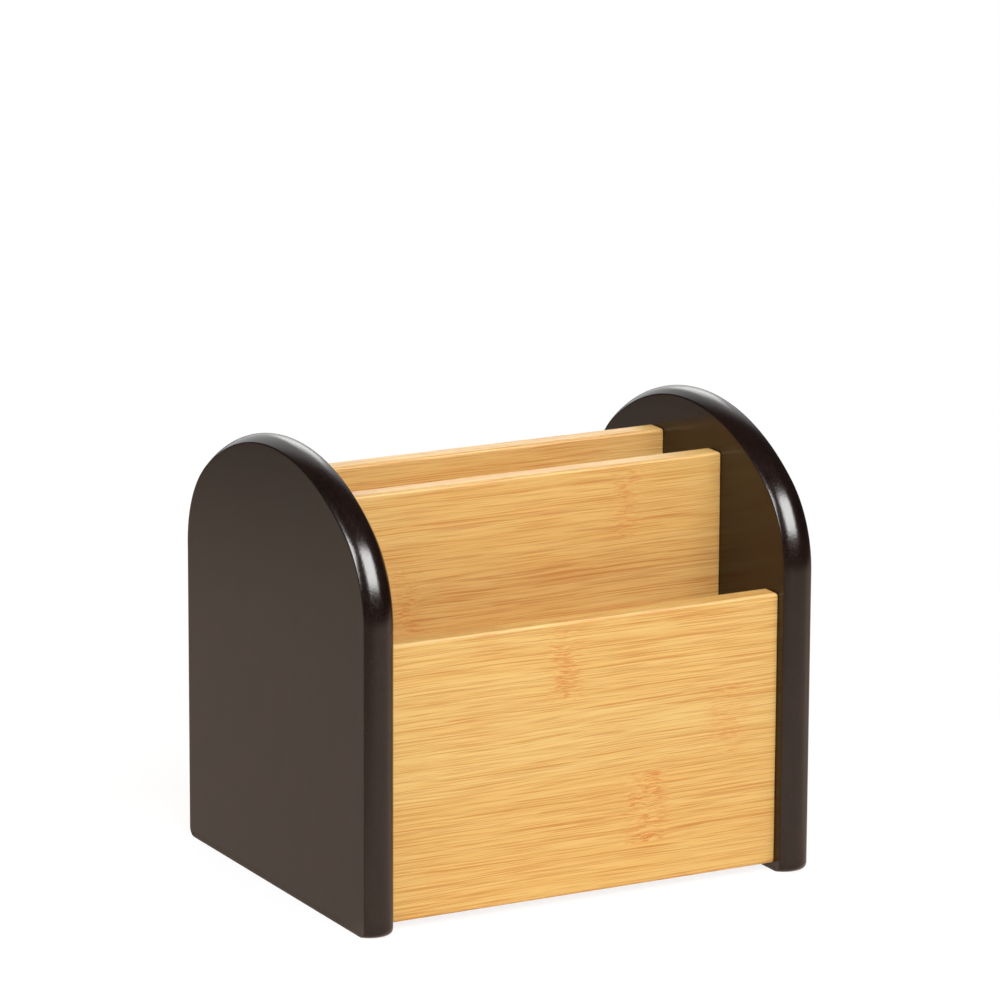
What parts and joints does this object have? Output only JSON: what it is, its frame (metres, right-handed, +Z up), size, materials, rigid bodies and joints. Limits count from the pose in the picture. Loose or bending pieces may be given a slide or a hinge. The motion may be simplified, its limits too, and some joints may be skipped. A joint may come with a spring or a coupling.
{
  "type": "desk organizer",
  "caption": "Desk organizer whose dark arched side panels hold light bamboo boards that divide it into upright compartments, open at the top.",
  "frame": {"origin": "centre of the footprint, on the surface that the organizer stands on", "axes": "+X across the width from the left to the right side panel, +Y from the front panel to the back panel, +Z up"},
  "size_m": [0.138, 0.1128, 0.1261],
  "materials": {
    "espresso_lacquer": "satin dark espresso lacquer over fine-grained wood",
    "bamboo": "clear satin lacquer over flat-pressed bamboo",
    "dowel_wood": "raw wood"
  },
  "bodies": {
    "root": {"left_side_panel": "espresso_lacquer", "right_side_panel": "espresso_lacquer", "front_panel": "bamboo", "front_divider": "bamboo", "rear_divider": "bamboo", "back_panel": "bamboo", "base_board": "bamboo", "front_panel_dowel_left_lower": "dowel_wood", "front_panel_dowel_left_upper": "dowel_wood", "front_panel_dowel_right_lower": "dowel_wood", "front_panel_dowel_right_upper": "dowel_wood", "back_panel_dowel_left_lower": "dowel_wood", "back_panel_dowel_left_upper": "dowel_wood", "back_panel_dowel_right_lower": "dowel_wood", "back_panel_dowel_right_upper": "dowel_wood", "front_divider_dowel_left_lower": "dowel_wood", "front_divider_dowel_left_middle": "dowel_wood", "front_divider_dowel_left_upper": "dowel_wood", "front_divider_dowel_right_lower": "dowel_wood", "front_divider_dowel_right_middle": "dowel_wood", "front_divider_dowel_right_upper": "dowel_wood", "rear_divider_dowel_left_lower": "dowel_wood", "rear_divider_dowel_left_middle": "dowel_wood", "rear_divider_dowel_left_upper": "dowel_wood", "rear_divider_dowel_right_lower": "dowel_wood", "rear_divider_dowel_right_middle": "dowel_wood", "rear_divider_dowel_right_upper": "dowel_wood", "base_dowel_left_front": "dowel_wood", "base_dowel_left_rear": "dowel_wood", "base_dowel_right_front": "dowel_wood", "base_dowel_right_rear": "dowel_wood"}
  },
  "joints": []
}
